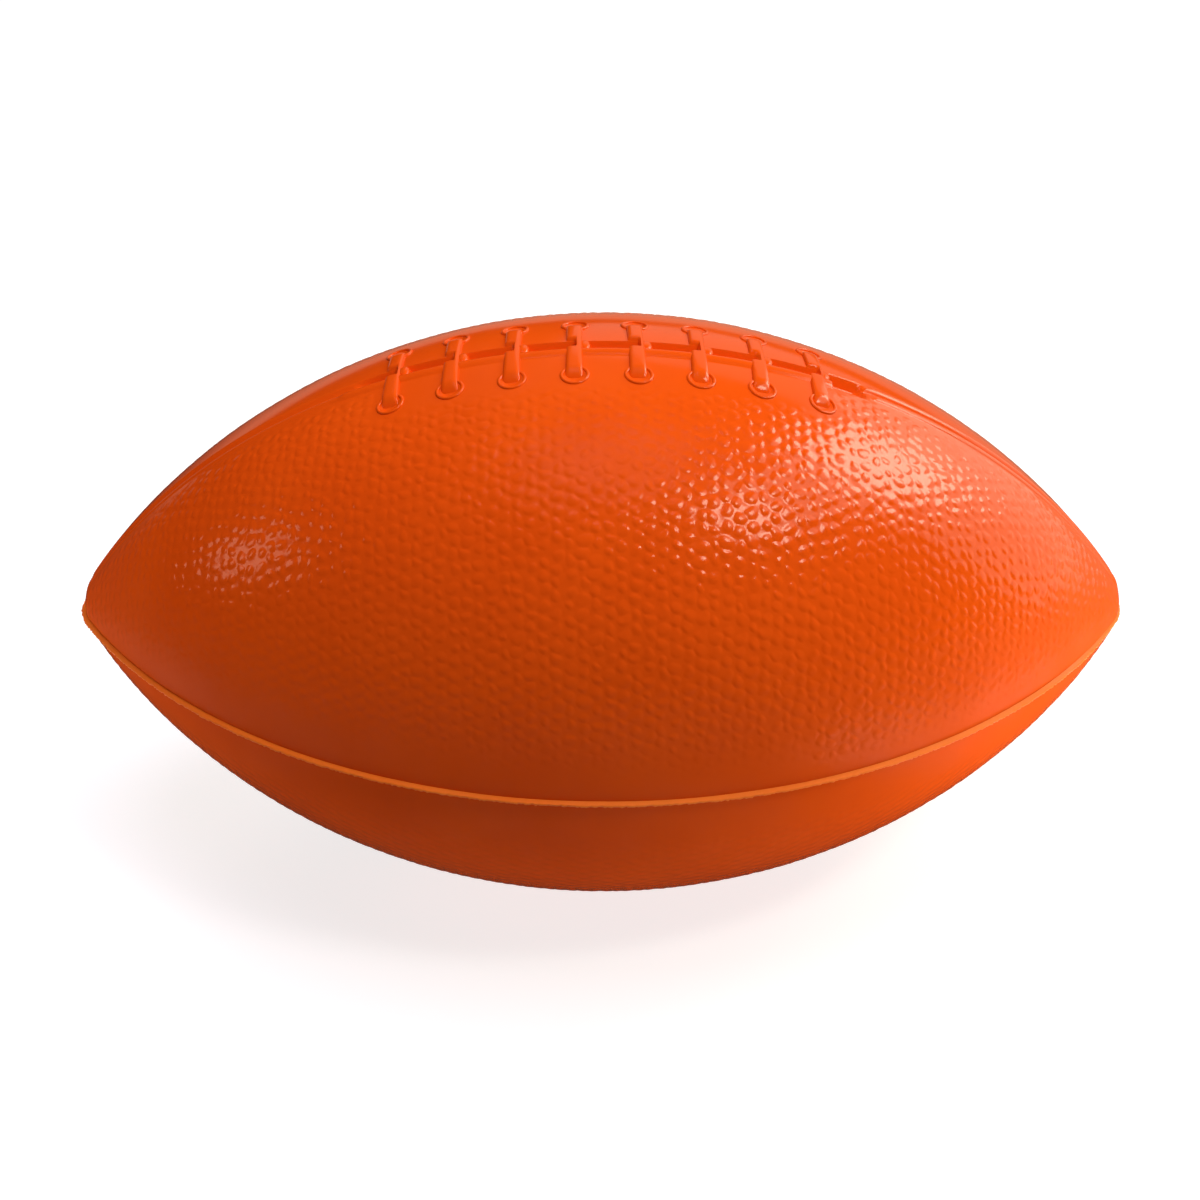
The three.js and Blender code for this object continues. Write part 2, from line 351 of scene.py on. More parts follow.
def noise(nodes, links, place, scale, detail):
    texture = nodes.new("ShaderNodeTexNoise")
    texture.inputs["Scale"].default_value = scale
    texture.inputs["Detail"].default_value = detail
    links.new(place.outputs["Object"], texture.inputs["Vector"])
    return texture


def spread(nodes, links, value, low, high):
    remap = nodes.new("ShaderNodeMapRange")
    remap.inputs["From Min"].default_value = noise_low
    remap.inputs["From Max"].default_value = noise_high
    remap.inputs["To Min"].default_value = low
    remap.inputs["To Max"].default_value = high
    links.new(value, remap.inputs["Value"])
    return remap.outputs["Result"]


# Moulded plastic: slightly clouded colour, uneven gloss and a fine matt texture.
def moulded_plastic(name, deep, bright, gloss_low, gloss_high, texture_depth):
    material, nodes, links, shader = new_material(name)
    place = nodes.new("ShaderNodeTexCoord")
    clouds = noise(nodes, links, place, cloud_scale, 4)
    colour = nodes.new("ShaderNodeMix")
    colour.data_type = "RGBA"
    colour.inputs["A"].default_value = deep
    colour.inputs["B"].default_value = bright
    links.new(spread(nodes, links, clouds.outputs["Fac"], 0, 1), colour.inputs["Factor"])
    links.new(colour.outputs["Result"], shader.inputs["Base Color"])
    wear = noise(nodes, links, place, gloss_scale, 5)
    links.new(spread(nodes, links, wear.outputs["Fac"], gloss_low, gloss_high), shader.inputs["Roughness"])
    fine = noise(nodes, links, place, texture_scale, 3)
    bump = nodes.new("ShaderNodeBump")
    bump.inputs["Strength"].default_value = texture_strength
    bump.inputs["Distance"].default_value = texture_depth
    links.new(fine.outputs["Fac"], bump.inputs["Height"])
    links.new(bump.outputs["Normal"], shader.inputs["Normal"])
    return material


def linear(red, green, blue):
    channels = []
    for value in (red, green, blue):
        share = value / 255
        channels.append(share / 12.92 if share <= 0.04045 else ((share + 0.055) / 1.055) ** 2.4)
    return (*channels, 1)


skin_plastic = moulded_plastic(
    "glossy_orange_skin", linear(236, 82, 11), linear(242, 87, 13), 0.1, 0.15, 0.008 * mm
)
# Painted light, in part: the bead is a paler, yellower orange than the skin. Part of that is the thin trimmed
# flash's own tone, and part is painted light standing for the overhead light that its up-facing top face
# catches.
bead_plastic = moulded_plastic(
    "trimmed_orange_bead", linear(250, 118, 30), linear(254, 128, 40), 0.42, 0.55, 0.03 * mm
)
bead_plastic.node_tree.nodes["Principled BSDF"].inputs["Specular IOR Level"].default_value = 0.25
valve_plastic = moulded_plastic(
    "matt_orange_valve", linear(224, 72, 11), linear(232, 78, 13), 0.45, 0.58, 0.03 * mm
)


# Pebbles lie in rows round the ball, each a little off its place and size. The result is 1 on a crown.
def pebbles(along, around, seed):
    rows = int(arc_to_nose / (grain_pitch * grain_row_share)) + 2
    most_in_row = int(mid_radius * math.pi / grain_pitch) + 8
    chance = np.random.default_rng(seed).uniform(-1, 1, (2 * rows + 1, most_in_row, 3))
    row_pitch = grain_pitch * grain_row_share
    here_radius = girth_radius(along)
    row_here = np.rint(along / row_pitch).astype(int)
    nearest = np.full(along.shape, 2.0)
    for length, heading, push in grain_drifts:
        run = along * math.cos(heading) + around * math.sin(heading)
        along = along + push * np.sin(2 * math.pi * run / length)
        around = around + push * np.cos(2 * math.pi * run / length + heading)
    for row_step in (-1, 0, 1):
        row = np.clip(row_here + row_step, -rows + 2, rows - 2)
        row_along = row * row_pitch
        row_radius = np.maximum(girth_radius(row_along), grain_pitch / 4)
        quarter = row_radius * math.pi / 2
        place_pitch = quarter / np.maximum(np.rint(quarter / grain_pitch), 1)
        offset = (row % 2) / 2
        around_row = around * row_radius / here_radius
        place_here = np.rint(around_row / place_pitch - offset).astype(int)
        for place_step in (-1, 0, 1):
            place = place_here + place_step
            stray = chance[row + rows, np.clip(place + 2, 0, most_in_row - 1)]
            off_along = along - row_along - grain_wander * stray[:, 0]
            off_around = around_row - (place + offset) * place_pitch - grain_wander * stray[:, 1]
            radius = grain_radius * (1 + grain_size_spread * stray[:, 2])
            nearest = np.minimum(nearest, np.hypot(off_along, off_around) / radius)
    return np.clip(1 - nearest**2, 0, 1)


# Waves of a blown skin, between two lengths.
def waviness(along, around, seed, shortest, longest):
    chance = np.random.default_rng(seed)
    height = np.zeros_like(along)
    for _ in range(wave_count):
        length = chance.uniform(shortest, longest)
        heading = chance.uniform(0, math.pi)
        phase = chance.uniform(0, 2 * math.pi)
        run = along * math.cos(heading) + around * math.sin(heading)
        height += np.sin(2 * math.pi * run / length + phase)
    return height / wave_count


def seam_groove(along, around):
    edge = soft_seam_edge + (seam_edge - soft_seam_edge) * ease(along, -slit_half, slit_half)
    ends = ease(np.abs(along), seam_end, seam_end - seam_end_run)
    return -seam_depth * ends * ease(around, edge, 0)


# Depth of the slit at a place across it, which grows towards the rear.
def slit_profile(across):
    slope = np.clip((slit_rear - across) / (slit_rear - slit_bottom), 0, 1) ** slope_hollow
    return slit_depth * slope * ease(across, -slit_near, -slit_floor)


# Relief of the laced half. across is the place from the slit's middle, and grows towards the rear.
def laced_relief(along, across):
    run = along - lacing_middle
    slit = slit_profile(across)
    down = np.clip((pocket_rear - across) / (pocket_rear - pocket_bottom), 0, 1)
    pocket = pocket_depth * down**slope_hollow * ease(across, -pocket_near, -pocket_floor)
    in_pocket = ease(along, pocket_start - slit_draft, pocket_start + slit_draft)
    left_end = ease(run, -slit_half, -slit_half + slit_left_run)
    ends = left_end * ease(run, slit_half, slit_half - slit_right_run)
    relief = -ends * (slit + (pocket - slit) * in_pocket)
    relief = np.minimum(relief, seam_groove(along, np.abs(across)))
    welt = ease(-across, slit_near, slit_near + welt_crown)
    past_crown = (-across - slit_near - welt_crown) / (welt_width - welt_crown)
    welt = welt * (1 - np.clip(past_crown, 0, 1) ** welt_fall)
    welt = welt * ease(run, -slit_half - welt_taper / 2, -slit_half + welt_taper / 2) * (1 - in_pocket)
    past_slit = ease(np.abs(run), slit_half, slit_half + seam_lip_width)
    past_slit = past_slit * ease(np.abs(along), seam_end, seam_end - welt_taper)
    on_right = ease(along, -slit_half, slit_half)
    near_lip = ridge(-across, seam_edge + seam_lip_width / 2, seam_lip_width) * (1 + on_right) / 2
    rear_lip = ridge(across, seam_edge + rear_lip_width / 2, rear_lip_width) * on_right
    relief = relief + welt_rise * welt + past_slit * (seam_lip_rise * near_lip + rear_lip_rise * rear_lip)
    dish_radius = eyelet_radius - eyelet_wire / 2
    for place in lace_places:
        off_eyelet = np.hypot(along - place - eyelet_offset, np.abs(across) - eyelet_reach)
        relief = relief - dish_depth * ease(off_eyelet, dish_radius, dish_radius / 2)
    return relief


# How much of the grain shows: none round the lacing and next to the bead, and less on the left.
def laced_grain(along, across, to_bead):
    around = np.abs(across)
    quarter = around + to_bead
    is_near = across < 0
    by_lacing = np.where(is_near, ease(around, *near_lacing_bare), ease(around, *rear_lacing_bare))
    rear_bare = np.minimum(rear_seam_bare_most, quarter * rear_seam_bare_share)
    by_rear_seam = ease(around, rear_bare * rear_seam_start_share, rear_bare)
    by_seam = np.where(is_near, ease(around, *near_seam_bare), by_rear_seam)
    off_seam = by_lacing + (by_seam - by_lacing) * ease(np.abs(along), *past_lacing_run)
    bare = np.where(along > bead_bare_change, bead_bare_right, bead_bare_left)
    bare = np.minimum(bare, quarter * bead_bare_share)
    by_right = grain_on_left + (1 - grain_on_left) * ease(along, grain_gains_from, grain_gains_to)
    return by_right * off_seam * ease(to_bead, bare * bead_start_share, bare)


def plain_grain(around, to_bead):
    bare = np.minimum(plain_bead_bare, (around + to_bead) * plain_bead_share)
    off_seam = ease(around, *plain_seam_bare)
    return grain_on_plain_half * off_seam * ease(to_bead, bare * plain_bead_start_share, bare)


# A flat sheet in the places of the skin: x along from one end to the other, y around from the seam to past
# the bead, with finer columns next to the seam and the corners beyond the bead cut off.
def flat_panel(first, last, step, fine_columns):
    reach = mid_radius * math.pi / 2 + panel_margin_steps * step
    columns = fine_columns + round((reach - seam_strip) / step)
    rows = round((last - first) / step)
    bpy.ops.mesh.primitive_grid_add(x_subdivisions=columns, y_subdivisions=rows, size=2)
    panel = bpy.context.active_object
    shares = (read_points(panel) + 1) / 2
    along = first + (last - first) * shares[:, 1]
    around = np.interp(shares[:, 0], [0, fine_columns / columns, 1], [0, seam_strip, reach])
    write_points(panel, np.stack([along, around, np.zeros_like(along)], axis=-1))
    panel.data.polygons.foreach_set("select", np.zeros(len(panel.data.polygons), bool))
    panel.data.edges.foreach_set("select", np.zeros(len(panel.data.edges), bool))
    is_spare = around > girth_radius(along) * math.pi / 2 + panel_trim_steps * step
    panel.data.vertices.foreach_set("select", is_spare)
    bpy.ops.object.mode_set(mode="EDIT")
    bpy.ops.mesh.delete(type="VERT")
    stop_editing()
    return panel


# Where places on a flat panel come to lie: is_near is the side with the welt, is_laced the upper half.
def on_half(along, around, heights, is_near, is_laced):
    points = on_ball(along, around, heights)
    if is_near:
        points[:, 1] *= -1
    if not is_laced:
        points[:, 2] = np.maximum(2 * centre_height - points[:, 2], 0)
    return points


# Puts a flat panel in its place and cuts it off next to the bead. Its points keep their flat places.
def curve_panel(panel, heights, is_near, is_laced, off_bead):
    flat = read_points(panel)
    for name, column in (("along", 0), ("around", 1)):
        panel.data.attributes.new(name, "FLOAT", "POINT").data.foreach_set("value", flat[:, column].copy())
    write_points(panel, on_half(flat[:, 0], flat[:, 1], heights, is_near, is_laced))
    upward = 1 if is_laced else -1
    edit(panel)
    bpy.ops.mesh.bisect(
        plane_co=(0, 0, centre_height + upward * off_bead), plane_no=(0, 0, upward), use_fill=False,
        clear_inner=True, threshold=1e-7,
    )
    stop_editing()


# Turns the open edge of a panel inwards, square to the skin and as deep as the wall.
def turn_edge_in(panel, is_near, is_laced):
    edit(panel, "EDGE")
    bpy.ops.mesh.select_all(action="DESELECT")
    bpy.ops.mesh.select_non_manifold()
    bpy.ops.mesh.extrude_region()
    stop_editing()
    count = len(panel.data.vertices)
    is_edge = np.empty(count, bool)
    panel.data.vertices.foreach_get("select", is_edge)
    along, around = np.empty(count), np.empty(count)
    panel.data.attributes["along"].data.foreach_get("value", along)
    panel.data.attributes["around"].data.foreach_get("value", around)
    points = read_points(panel)
    depths = np.full(count, -wall)
    points[is_edge] = on_half(along, around, depths, is_near, is_laced)[is_edge]
    write_points(panel, points)


# A panel of the skin with its relief outside, a plain inside and turned-in edges that close it.
def skin_panel(name, first, last, is_near, is_laced, seed):
    step = plain_step
    if is_laced:
        step = near_step if is_near else rear_step
    outer = flat_panel(first, last, step, seam_columns)
    flat = read_points(outer)
    along, around = flat[:, 0], flat[:, 1]
    to_bead = np.maximum(girth_radius(along) * math.pi / 2 - around, 0)
    slow_waves = waviness(along, around, seed + 50, *wave_lengths)
    heights = wave_height * slow_waves * ease(around, *wave_fade)
    ripples = waviness(along, around, seed + 70, *ripple_lengths)
    grain = grain_height * pebbles(along, around, seed) + ripple_height * ripples
    if is_laced:
        across = -around if is_near else around
        heights += laced_relief(along, across) + grain * laced_grain(along, across, to_bead)
    else:
        heights += seam_groove(along, around) + grain * plain_grain(around, to_bead)
    curve_panel(outer, heights, is_near, is_laced, parting_gap)
    turn_edge_in(outer, is_near, is_laced)
    inner = flat_panel(first + inner_inset, last - inner_inset, inner_step, 2)
    flat = read_points(inner)
    flat[:, 1] = np.maximum(flat[:, 1], inner_inset)
    write_points(inner, flat)
    curve_panel(inner, np.full(len(flat), -wall), is_near, is_laced, parting_gap + inner_inset)
    panel = join(name, outer, inner)
    for layer in ("along", "around"):
        panel.data.attributes.remove(panel.data.attributes[layer])
    edit(panel, "EDGE")
    bpy.ops.mesh.select_all(action="DESELECT")
    bpy.ops.mesh.select_non_manifold(
        extend=False, use_wire=False, use_boundary=True, use_multi_face=False, use_non_contiguous=False,
        use_verts=False,
    )
    bpy.ops.mesh.bridge_edge_loops()
    bpy.ops.mesh.select_all(action="SELECT")
    bpy.ops.mesh.normals_make_consistent(inside=False)
    stop_editing()
    smooth(panel, skin_soft_edge)
    node = "laced_half" if is_laced else "plain_half"
    finish_piece(panel, "ball", node, skin_plastic)
    return panel


# Lays what was modelled flat on the table (x along, y around, z up) on the ball's skin.
def lay_on_ball(piece):
    flat = read_points(piece)
    write_points(piece, on_ball(flat[:, 0], flat[:, 1], flat[:, 2]))


# A band with a round back that flares a little, bends down at both ends and is closed below.
def lace_band():
    bpy.ops.mesh.primitive_grid_add(x_subdivisions=lace_columns, y_subdivisions=lace_rows, size=2)
    band = bpy.context.active_object
    shares = read_points(band)
    swing = shares[:, 0] * math.pi / 2
    around = shares[:, 1] * lace_reach
    to_end = lace_reach - np.abs(around)
    half_width = lace_width / 2 * (1 + lace_flare * shares[:, 1] ** 2)
    rounding = np.clip(1 - to_end / lace_end_rounding, 0, 1)
    half_width = half_width * np.sqrt(1 - lace_end_narrowing * rounding**2)
    side = np.sign(swing) * np.abs(np.sin(swing)) ** lace_side_fullness * half_width
    end_share = (lace_root - lace_end_dip) / (lace_root + lace_rise)
    past_shoulder = np.maximum(0, lace_shoulder - to_end) / lace_shoulder
    back = (lace_root + lace_rise) * (1 - (1 - end_share) * past_shoulder**2) - lace_root
    foot = np.minimum(lace_foot, back - eyelet_wire / 4)
    height = foot + (back - foot) * np.clip(np.cos(swing), 0, 1) ** lace_back_fullness
    write_points(band, np.stack([side, around, height], axis=-1))
    edit(band, "EDGE")
    bpy.ops.mesh.select_all(action="DESELECT")
    bpy.ops.mesh.select_non_manifold()
    bpy.ops.mesh.extrude_region()
    bpy.ops.transform.translate(value=(0, 0, lace_foot))
    bpy.ops.mesh.edge_face_add()
    stop_editing()
    points = read_points(band)
    base = points[:, 2] < lace_foot * 1.5
    points[base, 2] = -lace_root
    write_points(band, points)
    return band


# The slit parts the left of a lace: there its back goes down under the slit's floor.
def part_lace(points, share):
    right = lace_width * (share - 0.5)
    parted = ease(points[:, 0], right + slit_draft, right - slit_draft)
    parted = parted * ease(points[:, 1], -slit_near, -slit_near / 2)
    parted = parted * ease(points[:, 1], slit_rear + lace_rise, slit_rear - slit_draft)
    floor = -slit_profile(points[:, 1]) - slit_draft
    points[:, 2] += np.minimum(floor - points[:, 2], 0) * parted


def eyelet_ring(around):
    bpy.ops.mesh.primitive_torus_add(
        location=(eyelet_offset, around, 0), major_radius=eyelet_radius, minor_radius=eyelet_wire / 2,
        major_segments=44, minor_segments=14,
    )
    ring = bpy.context.active_object
    bpy.ops.object.transform_apply(location=True, rotation=True, scale=True)
    return ring


def slit_lump():
    middle = (lump_rise - slit_depth) / 2
    across = (slit_rear - slit_near) / 2
    bpy.ops.mesh.primitive_uv_sphere_add(segments=28, ring_count=18, location=(lump_offset, across, middle))
    lump = bpy.context.active_object
    points = read_points(lump)
    full = np.sign(points) * np.abs(points) ** lump_fullness
    points = full * (lump_half, lump_across, lump_rise - middle)
    write_points(lump, points)
    bpy.ops.object.transform_apply(location=True, rotation=True, scale=True)
    return lump


# One lace with its two eyelets and its lump is modelled flat, and each copy is laid at its own place.
def moulded_laces():
    rings = [eyelet_ring(-eyelet_reach), eyelet_ring(eyelet_reach)]
    band = lace_band()
    band_points = len(band.data.vertices)
    pattern = join("lace_pattern", band, slit_lump(), *rings)
    chance = np.random.default_rng(17)
    for number, place in enumerate(lace_places, 1):
        select_only(pattern)
        bpy.ops.object.duplicate()
        lace = bpy.context.active_object
        lace.name = f"lace_{number}"
        lace.data.name = lace.name
        points = read_points(lace)
        part_lace(points[:band_points], notch_share + chance.uniform(-notch_spread, notch_spread))
        points[:, 0] += place + chance.uniform(-lace_lean, lace_lean) * points[:, 1]
        write_points(lace, points)
        lay_on_ball(lace)
        smooth(lace, skin_soft_edge)
        finish_piece(lace, "ball", "laced_half", skin_plastic)
    bpy.data.objects.remove(pattern)


# Section of the bead, as places out from the skin and up from the middle of the bead: the top face slopes
# to a sharp outer edge, and below it the bead is cut back. The last number is how ragged a place is.
bead_section = [
    (-wall - bead_inside, -bead_thickness / 2, 0),
    (-wall - bead_inside, bead_thickness / 2, 0),
    (-0.3 * mm, bead_thickness / 2, 0),
    (0.1 * mm, 0.44 * mm, 0),
    (0.45 * mm, 0.34 * mm, 0.2),
    (0.75 * mm, 0.26 * mm, 0.6),
    (bead_proud, 0.14 * mm, 1),
    (bead_proud - 0.06 * mm, -0.06 * mm, 1),
    (0.4 * mm, -0.2 * mm, 0.4),
    (-0.2 * mm, -0.3 * mm, 0),
    (-wall / 2, -bead_thickness / 2, 0),
]


# The bead follows the ball's outline over both noses.
def weld_bead():
    corners = len(bead_section)
    bpy.ops.mesh.primitive_grid_add(x_subdivisions=bead_stations, y_subdivisions=corners, size=2)
    bead = bpy.context.active_object
    shares = read_points(bead)
    turn = math.pi * shares[:, 0]
    station = np.rint((shares[:, 0] + 1) / 2 * bead_stations).astype(int) % bead_stations
    corner = np.rint((shares[:, 1] + 1) / 2 * corners).astype(int) % corners
    out, rise, ragged = np.array(bead_section)[corner].T
    chance = np.random.default_rng(5)
    teeth = chance.uniform(-1, 1, bead_stations)
    drops = np.maximum(chance.uniform(-1, 1, bead_stations), 0)
    three_times_round = np.tile(chance.uniform(-1, 1, bead_stations), 3)
    slow = np.convolve(three_times_round, np.ones(trim_wave_stations) / trim_wave_stations, "same")
    slow = slow[bead_stations : 2 * bead_stations] * trim_wave_gain
    out = out - ragged * (tooth_depth * (1 + teeth) + trim_wave_depth * np.abs(slow))[station]
    rise = rise - ragged * drop_depth * drops[station]
    along = arc_to_nose * (1 - 2 * np.abs(turn) / math.pi)
    closeness = ease(along, arc_to_nose - close_trim_start, arc_to_nose - close_trim_full)
    close_trim = 1 - close_trim_cut * closeness
    x, distance = meridian_point(along, np.where(out > 0, out * close_trim, out))
    write_points(bead, np.stack([x, np.sign(turn) * distance, rise + centre_height], axis=-1))
    edit(bead)
    bpy.ops.mesh.remove_doubles(threshold=1e-6)
    bpy.ops.mesh.normals_make_consistent(inside=False)
    stop_editing()
    bead.name = "weld_bead_trimmed"
    bead.data.name = bead.name
    smooth(bead, skin_soft_edge)
    finish_piece(bead, "ball", "weld_bead", bead_plastic)


# Valve: modelled upright with the ball's centre at its origin, then turned to its place.
valve_top = mid_radius - valve_below_skin
head_seat = valve_top - plug_head_thickness
head_recess_radius = plug_head_diameter / 2 + fit_clearance
bush_radius = head_recess_radius + bush_wall
bush_flange_radius = bush_radius + bush_flange_lip
bush_flange_underside = valve_top - bush_flange_thickness
boss_radius = bush_flange_radius + fit_clearance + boss_rim
boss_end = mid_radius - boss_depth
bush_barb_top = boss_end - fit_clearance
bush_end = bush_barb_top - bush_barb_length
valve_matrix = Matrix.Translation((0, 0, centre_height)) @ Matrix.Rotation(valve_tilt - math.pi, 4, "X")


# A turned piece: a ring of points is set to the profile (distance from the axis, height) and spun.
def turned(name, profile, rounding, is_ring):
    bpy.ops.mesh.primitive_circle_add(vertices=len(profile), fill_type="NOTHING")
    piece = bpy.context.active_object
    piece.name = name
    piece.data.name = name
    write_points(piece, [(distance, 0, height) for distance, height in profile])
    edit(piece, "EDGE")
    if not is_ring:
        pick_edges(piece, lambda edge: all(vert.co.x < 1e-9 for vert in edge.verts))
        bpy.ops.mesh.delete(type="EDGE")
        bpy.ops.mesh.select_all(action="SELECT")
    bpy.ops.mesh.spin(steps=valve_steps, angle=2 * math.pi, center=(0, 0, 0), axis=(0, 0, 1))
    bpy.ops.mesh.select_all(action="SELECT")
    bpy.ops.mesh.remove_doubles(threshold=1e-6)
    bpy.ops.mesh.normals_make_consistent(inside=False)
    stop_editing()
    edge_rounding = piece.modifiers.new("edge_rounding", "BEVEL")
    edge_rounding.width = rounding
    edge_rounding.segments = 3
    edge_rounding.limit_method = "ANGLE"
    edge_rounding.angle_limit = math.radians(40)
    bpy.ops.object.modifier_apply(modifier=edge_rounding.name)
    return piece


def cut_away(piece, cutter):
    select_only(piece)
    cut = piece.modifiers.new("cut", "BOOLEAN")
    cut.operation = "DIFFERENCE"
    cut.object = cutter
    bpy.ops.object.modifier_apply(modifier=cut.name)
    bpy.data.objects.remove(cutter)


def turn_to_valve(piece):
    select_only(piece)
    piece.matrix_world = valve_matrix @ piece.matrix_world
    bpy.ops.object.transform_apply(location=True, rotation=True, scale=True)


def valve_bush():
    bore = plug_stem_diameter / 2 + fit_clearance
    bush = turned(
        "valve_bush_flanged",
        [
            (bore, bush_end),
            (bush_radius, bush_end),
            (bush_radius + bush_barb, bush_barb_top),
            (bush_radius, bush_barb_top),
            (bush_radius, bush_flange_underside),
            (bush_flange_radius, bush_flange_underside),
            (bush_flange_radius, valve_top),
            (head_recess_radius, valve_top),
            (head_recess_radius, head_seat - fit_clearance),
            (bore, head_seat - fit_clearance),
        ],
        bush_rounding,
        True,
    )
    bpy.ops.mesh.primitive_uv_sphere_add(
        segments=32, ring_count=16, radius=nail_notch_radius, location=(head_recess_radius, 0, valve_top)
    )
    cut_away(bush, bpy.context.active_object)
    turn_to_valve(bush)
    smooth(bush, valve_soft_edge)
    finish_piece(bush, "ball", "valve_bush", valve_plastic)


def valve_plug():
    stem_end = head_seat - plug_stem_length
    tip_radius = plug_tip_diameter / 2
    tip_angles = [math.radians(degrees) for degrees in (-90, -70, -50, -30, -10, 0)]
    tip = [
        (tip_radius * math.cos(angle), stem_end + plug_tip_rounding * (1 + math.sin(angle)))
        for angle in tip_angles
    ]
    tip[0] = (0, stem_end)
    dimple_radius = plug_head_diameter * plug_dimple_share
    dimple_floor = valve_top - plug_dimple_depth
    plug = turned(
        "valve_plug_stopper",
        [
            *tip,
            (plug_stem_diameter / 2, stem_end + plug_tip_length),
            (plug_stem_diameter / 2, head_seat),
            (plug_head_diameter / 2, head_seat),
            (plug_head_diameter / 2, valve_top),
            (dimple_radius, valve_top),
            (dimple_radius * plug_dimple_floor_share, dimple_floor),
            (0, dimple_floor),
        ],
        plug_rounding,
        False,
    )
    turn_to_valve(plug)
    smooth(plug, valve_soft_edge)
    finish_piece(plug, "stopper", "valve_plug", valve_plastic)


def valve_boss():
    bore = bush_radius + fit_clearance
    top = bush_flange_underside - fit_clearance
    boss = turned(
        "valve_boss",
        [(bore, boss_end), (boss_radius, boss_end), (boss_radius, top), (bore, top)],
        boss_rounding,
        True,
    )
    turn_to_valve(boss)
    smooth(boss, valve_soft_edge)
    finish_piece(boss, "ball", "plain_half", skin_plastic)


def bore_valve_hole(panel):
    bpy.ops.mesh.primitive_cylinder_add(
        vertices=valve_steps, radius=bush_flange_radius + fit_clearance, depth=valve_hole_depth,
        location=(0, 0, mid_radius),
    )
    cutter = bpy.context.active_object
    turn_to_valve(cutter)
    cut_away(panel, cutter)
    smooth(panel, skin_soft_edge)


tip = arc_to_nose - nose_opening
skin_panel("laced_half_near_left_end", -tip, -near_split, True, True, 1)
skin_panel("laced_half_near_left", -near_split, 0, True, True, 1)
skin_panel("laced_half_near_right", 0, near_split, True, True, 1)
skin_panel("laced_half_near_right_end", near_split, tip, True, True, 1)
skin_panel("laced_half_rear_left", -tip, 0, False, True, 2)
skin_panel("laced_half_rear_right", 0, tip, False, True, 2)
skin_panel("plain_half_near", -tip, tip, True, False, 3)
bore_valve_hole(skin_panel("plain_half_rear", -tip, tip, False, False, 4))
moulded_laces()
weld_bead()
valve_boss()
valve_bush()
valve_plug()


# Camera: worked out from the ball's outline in a square photograph. The first three are in its pixels.
photo_size = 1200
focal_length = 1461
ball_at = (604.4, 601.7)
camera_distance = 251 * mm
camera_azimuth = math.radians(-0.97)
camera_elevation = math.radians(36.95)
camera_roll = math.radians(0.49)
sensor_width = 36

level = math.cos(camera_elevation)
away_x = math.sin(camera_azimuth) * level
away_y = -math.cos(camera_azimuth) * level
back = Vector((away_x, away_y, math.sin(camera_elevation)))
right = Vector((math.cos(camera_azimuth), math.sin(camera_azimuth), 0))
up = back.cross(right)
turn_in_frame = Matrix.Rotation(camera_roll, 3, back)
right = turn_in_frame @ right
up = turn_in_frame @ up
per_pixel = camera_distance / focal_length
aside = (ball_at[0] - photo_size / 2) * per_pixel
below = (ball_at[1] - photo_size / 2) * per_pixel
camera_data = bpy.data.cameras.new("photo_camera")
camera_data.sensor_width = sensor_width
camera_data.lens = focal_length / photo_size * sensor_width
camera_data.clip_start = 0.01
camera = bpy.data.objects.new("photo_camera", camera_data)
bpy.context.scene.collection.objects.link(camera)
ball_centre = Vector((0, 0, centre_height))
camera_place = ball_centre + back * camera_distance - right * aside + up * below
camera.matrix_world = Matrix.Translation(camera_place) @ Matrix((right, up, back)).transposed().to_4x4()
bpy.context.scene.camera = camera


# Lights and floor: each soft box lies in a direction from the ball and fills an angle, along and across.
lamp_distance = 0.8


def soft_box(name, direction, long_way, angle_along, angle_across, radiance, tint, is_reflected):
    light = bpy.data.lights.new(name, "AREA")
    light.shape = "RECTANGLE"
    light.size = angle_along * lamp_distance
    light.size_y = angle_across * lamp_distance
    light.energy = radiance * math.pi * light.size * light.size_y
    light.color = tint
    lamp = bpy.data.objects.new(name, light)
    lamp.visible_glossy = is_reflected
    lamp.visible_camera = False
    bpy.context.scene.collection.objects.link(lamp)
    towards = Vector(direction).normalized()
    x_axis = (Vector(long_way) - Vector(long_way).dot(towards) * towards).normalized()
    y_axis = towards.cross(x_axis)
    turn = Matrix((x_axis, y_axis, towards)).transposed().to_4x4()
    lamp.matrix_world = Matrix.Translation(ball_centre + towards * lamp_distance) @ turn
    return lamp


warm = (1, 1.05, 0.85)
along_key = (0.272, 0.614, -0.211)
soft_box("key_strip", (0.609, 0.003, 0.793), along_key, 0.9, 0.32, 1.3, warm, True)
soft_box("key_right", (0.706, 0.31, 0.637), along_key, 0.42, 0.36, 4.9, warm, True)
soft_box("key_front", (0.434, -0.304, 0.848), along_key, 0.22, 0.18, 6, warm, True)
soft_box("key_haze", (0.73, 0.34, 0.59), along_key, 0.8, 0.65, 0.35, warm, True)
soft_box("small_left", (-0.919, -0.056, 0.39), (0.15, -0.07, 0.38), 0.24, 0.18, 2.3, (1, 0.66, 0.46), True)
soft_box("right_wall", (0.88, 0.42, 0.2), (-0.42, 0.88, 0), 1.1, 0.8, 0.85, warm, True)
soft_box("rear_wall", (0.42, 0.8, 0.42), (1, -0.5, 0), 1.1, 0.6, 0.34, warm, True)
soft_box("overhead", (0, -0.02, 1), (0, 1, 0), 0.5, 0.5, 6.2, (1, 0.9, 1.1), False)
soft_box("front_spot", (0.434, -0.304, 0.848), along_key, 0.12, 0.12, 42, (1, 0.95, 0.9), False)
soft_box("rear_fill", (-0.1, 0.75, 0.65), (1, 0, 0), 0.6, 0.6, 1.6, (1, 1, 0.9), False)


glow_angle = 0.12
glow_height = 2 * mm


# Glows from the table, which light the underside.
def table_glow(name, x, y, radiance):
    glow = soft_box(name, (0, 0, -1), (1, 0, 0), glow_angle, glow_angle, radiance, (1, 1, 1), False)
    glow.matrix_world = Matrix.Translation((x, y, glow_height)) @ Matrix.Rotation(math.pi, 4, "X")


